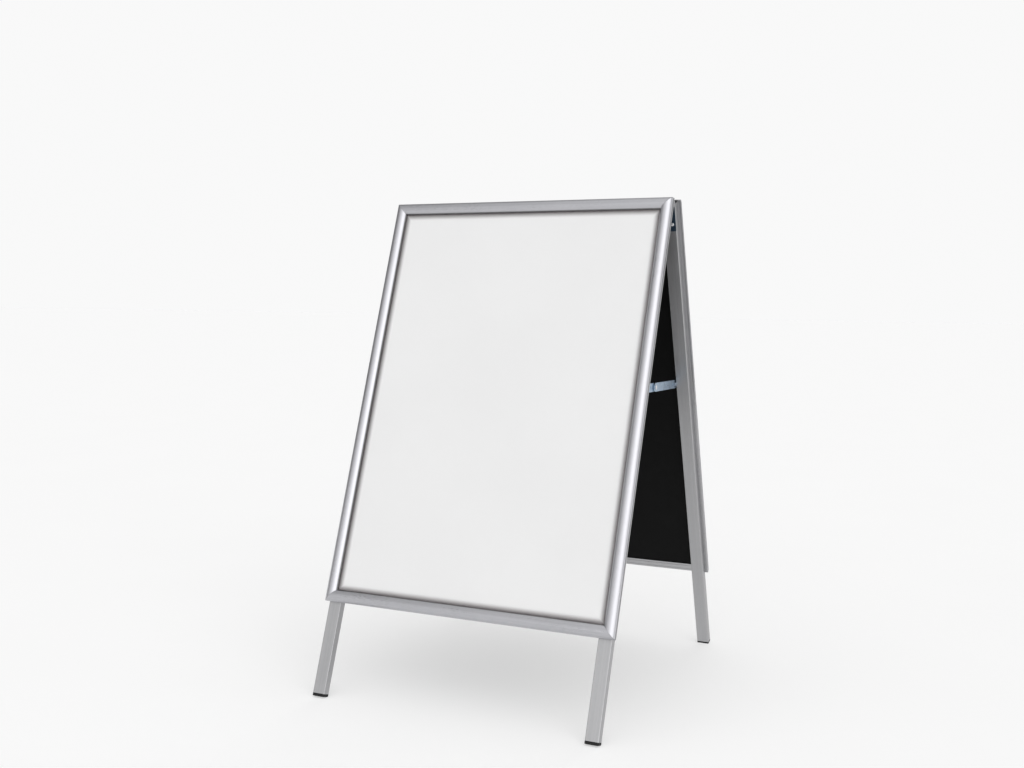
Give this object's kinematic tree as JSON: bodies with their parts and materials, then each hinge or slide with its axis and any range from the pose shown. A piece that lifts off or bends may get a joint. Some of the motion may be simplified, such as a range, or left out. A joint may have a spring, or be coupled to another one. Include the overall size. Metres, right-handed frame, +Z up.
{
  "type": "folding sandwich board",
  "caption": "Folding A-frame sandwich board: snap-open aluminium poster frame on each face, tubular legs with black feet, top hinges and folding side stays.",
  "frame": {"origin": "on the floor, midway between the four feet, under the top hinge axis", "axes": "+Z up, +X to the right along the top hinge axis, -Y out of the front poster face"},
  "size_m": [0.53, 0.61, 0.8449],
  "materials": {
    "base_profile": "satin silver anodised",
    "snap_cover": "satin silver anodised",
    "leg_tube": "satin silver anodised",
    "back_board": "fine-grained black sheet",
    "poster": "smooth, blank",
    "clear_sheet": "clear, low glare",
    "black_plastic": "moulded, fine grain",
    "hinge_leaf": "blue-black, semi-matt",
    "stay_link": "zinc plated",
    "plated_steel": "zinc plated",
    "rivet": "bright"
  },
  "bodies": {
    "front_panel": {"front_base_top": "base_profile", "front_base_bottom": "base_profile", "front_base_left": "base_profile", "front_base_right": "base_profile", "front_corner_keys": "plated_steel", "front_spring_clips": "plated_steel", "front_back_board": "back_board", "front_poster": "poster", "front_clear_sheet": "clear_sheet", "front_leg_left": "leg_tube", "front_leg_right": "leg_tube", "front_foot_left": "black_plastic", "front_foot_right": "black_plastic", "front_leg_screws": "plated_steel", "front_top_plugs": "black_plastic", "front_hinge_leaf_left": "hinge_leaf", "front_hinge_leaf_right": "hinge_leaf", "front_hinge_rivets": "rivet", "front_stay_pivots": "rivet", "front_stay_washers": "rivet", "hinge_pin_left": "rivet", "hinge_pin_right": "rivet"},
    "rear_panel": {"rear_base_top": "base_profile", "rear_base_bottom": "base_profile", "rear_base_left": "base_profile", "rear_base_right": "base_profile", "rear_corner_keys": "plated_steel", "rear_spring_clips": "plated_steel", "rear_back_board": "back_board", "rear_poster": "poster", "rear_clear_sheet": "clear_sheet", "rear_leg_left": "leg_tube", "rear_leg_right": "leg_tube", "rear_foot_left": "black_plastic", "rear_foot_right": "black_plastic", "rear_leg_screws": "plated_steel", "rear_top_plugs": "black_plastic", "rear_hinge_leaf_left": "hinge_leaf", "rear_hinge_leaf_right": "hinge_leaf", "rear_hinge_rivets": "rivet", "rear_stay_pivots": "rivet", "rear_stay_washers": "rivet"},
    "front_cover_top": {"front_cover_top": "snap_cover"},
    "front_cover_bottom": {"front_cover_bottom": "snap_cover"},
    "front_cover_left": {"front_cover_left": "snap_cover"},
    "front_cover_right": {"front_cover_right": "snap_cover"},
    "rear_cover_top": {"rear_cover_top": "snap_cover"},
    "rear_cover_bottom": {"rear_cover_bottom": "snap_cover"},
    "rear_cover_left": {"rear_cover_left": "snap_cover"},
    "rear_cover_right": {"rear_cover_right": "snap_cover"},
    "front_stay_left": {"front_stay_link_left": "stay_link", "front_stay_joint_left": "rivet"},
    "front_stay_right": {"front_stay_link_right": "stay_link", "front_stay_joint_right": "rivet"},
    "rear_stay_left": {"rear_stay_link_left": "stay_link", "rear_stay_joint_left": "rivet"},
    "rear_stay_right": {"rear_stay_link_right": "stay_link", "rear_stay_joint_right": "rivet"}
  },
  "joints": [
    {"name": "fold", "type": "hinge", "parent": "front_panel", "child": "rear_panel", "pos_m": [0, 0, 0.83817], "axis": [-1, 0, 0], "range_deg": [0, 38]},
    {"name": "front_stay_left_fold", "type": "hinge", "parent": "front_panel", "child": "front_stay_left", "pos_m": [0, -0.11645, 0.52608], "axis": [1, 0, 0], "range_deg": [0, 66.86]},
    {"name": "front_stay_right_fold", "type": "hinge", "parent": "front_panel", "child": "front_stay_right", "pos_m": [0, -0.11645, 0.52608], "axis": [1, 0, 0], "range_deg": [0, 66.86]},
    {"name": "rear_stay_left_fold", "type": "hinge", "parent": "rear_panel", "child": "rear_stay_left", "pos_m": [0, 0.11645, 0.52608], "axis": [-1, 0, 0], "range_deg": [0, 66.86]},
    {"name": "rear_stay_right_fold", "type": "hinge", "parent": "rear_panel", "child": "rear_stay_right", "pos_m": [0, 0.11645, 0.52608], "axis": [-1, 0, 0], "range_deg": [0, 66.86]},
    {"name": "front_cover_top_open", "type": "hinge", "parent": "front_panel", "child": "front_cover_top", "pos_m": [0, -0.02143, 0.84259], "axis": [-1, 0, 0], "range_deg": [0, 90]},
    {"name": "front_cover_bottom_open", "type": "hinge", "parent": "front_panel", "child": "front_cover_bottom", "pos_m": [0, -0.2576, 0.15671], "axis": [1, 0, 0], "range_deg": [0, 90]},
    {"name": "front_cover_left_open", "type": "hinge", "parent": "front_panel", "child": "front_cover_left", "pos_m": [-0.2627, -0.13951, 0.49965], "axis": [0, -0.3256, -0.9455], "range_deg": [0, 90]},
    {"name": "front_cover_right_open", "type": "hinge", "parent": "front_panel", "child": "front_cover_right", "pos_m": [0.2627, -0.13951, 0.49965], "axis": [0, 0.3256, 0.9455], "range_deg": [0, 90]},
    {"name": "rear_cover_top_open", "type": "hinge", "parent": "rear_panel", "child": "rear_cover_top", "pos_m": [0, 0.02143, 0.84259], "axis": [1, 0, 0], "range_deg": [0, 90]},
    {"name": "rear_cover_bottom_open", "type": "hinge", "parent": "rear_panel", "child": "rear_cover_bottom", "pos_m": [0, 0.2576, 0.15671], "axis": [-1, 0, 0], "range_deg": [0, 90]},
    {"name": "rear_cover_left_open", "type": "hinge", "parent": "rear_panel", "child": "rear_cover_left", "pos_m": [-0.2627, 0.13951, 0.49965], "axis": [0, -0.3256, 0.9455], "range_deg": [0, 90]},
    {"name": "rear_cover_right_open", "type": "hinge", "parent": "rear_panel", "child": "rear_cover_right", "pos_m": [0.2627, 0.13951, 0.49965], "axis": [0, 0.3256, -0.9455], "range_deg": [0, 90]}
  ],
  "couplings": [
    {"joint": "front_stay_left_fold", "follows": "fold", "ratio": 1.7583},
    {"joint": "front_stay_right_fold", "follows": "fold", "ratio": 1.7583},
    {"joint": "rear_stay_left_fold", "follows": "fold", "ratio": 1.7583},
    {"joint": "rear_stay_right_fold", "follows": "fold", "ratio": 1.7583}
  ]
}
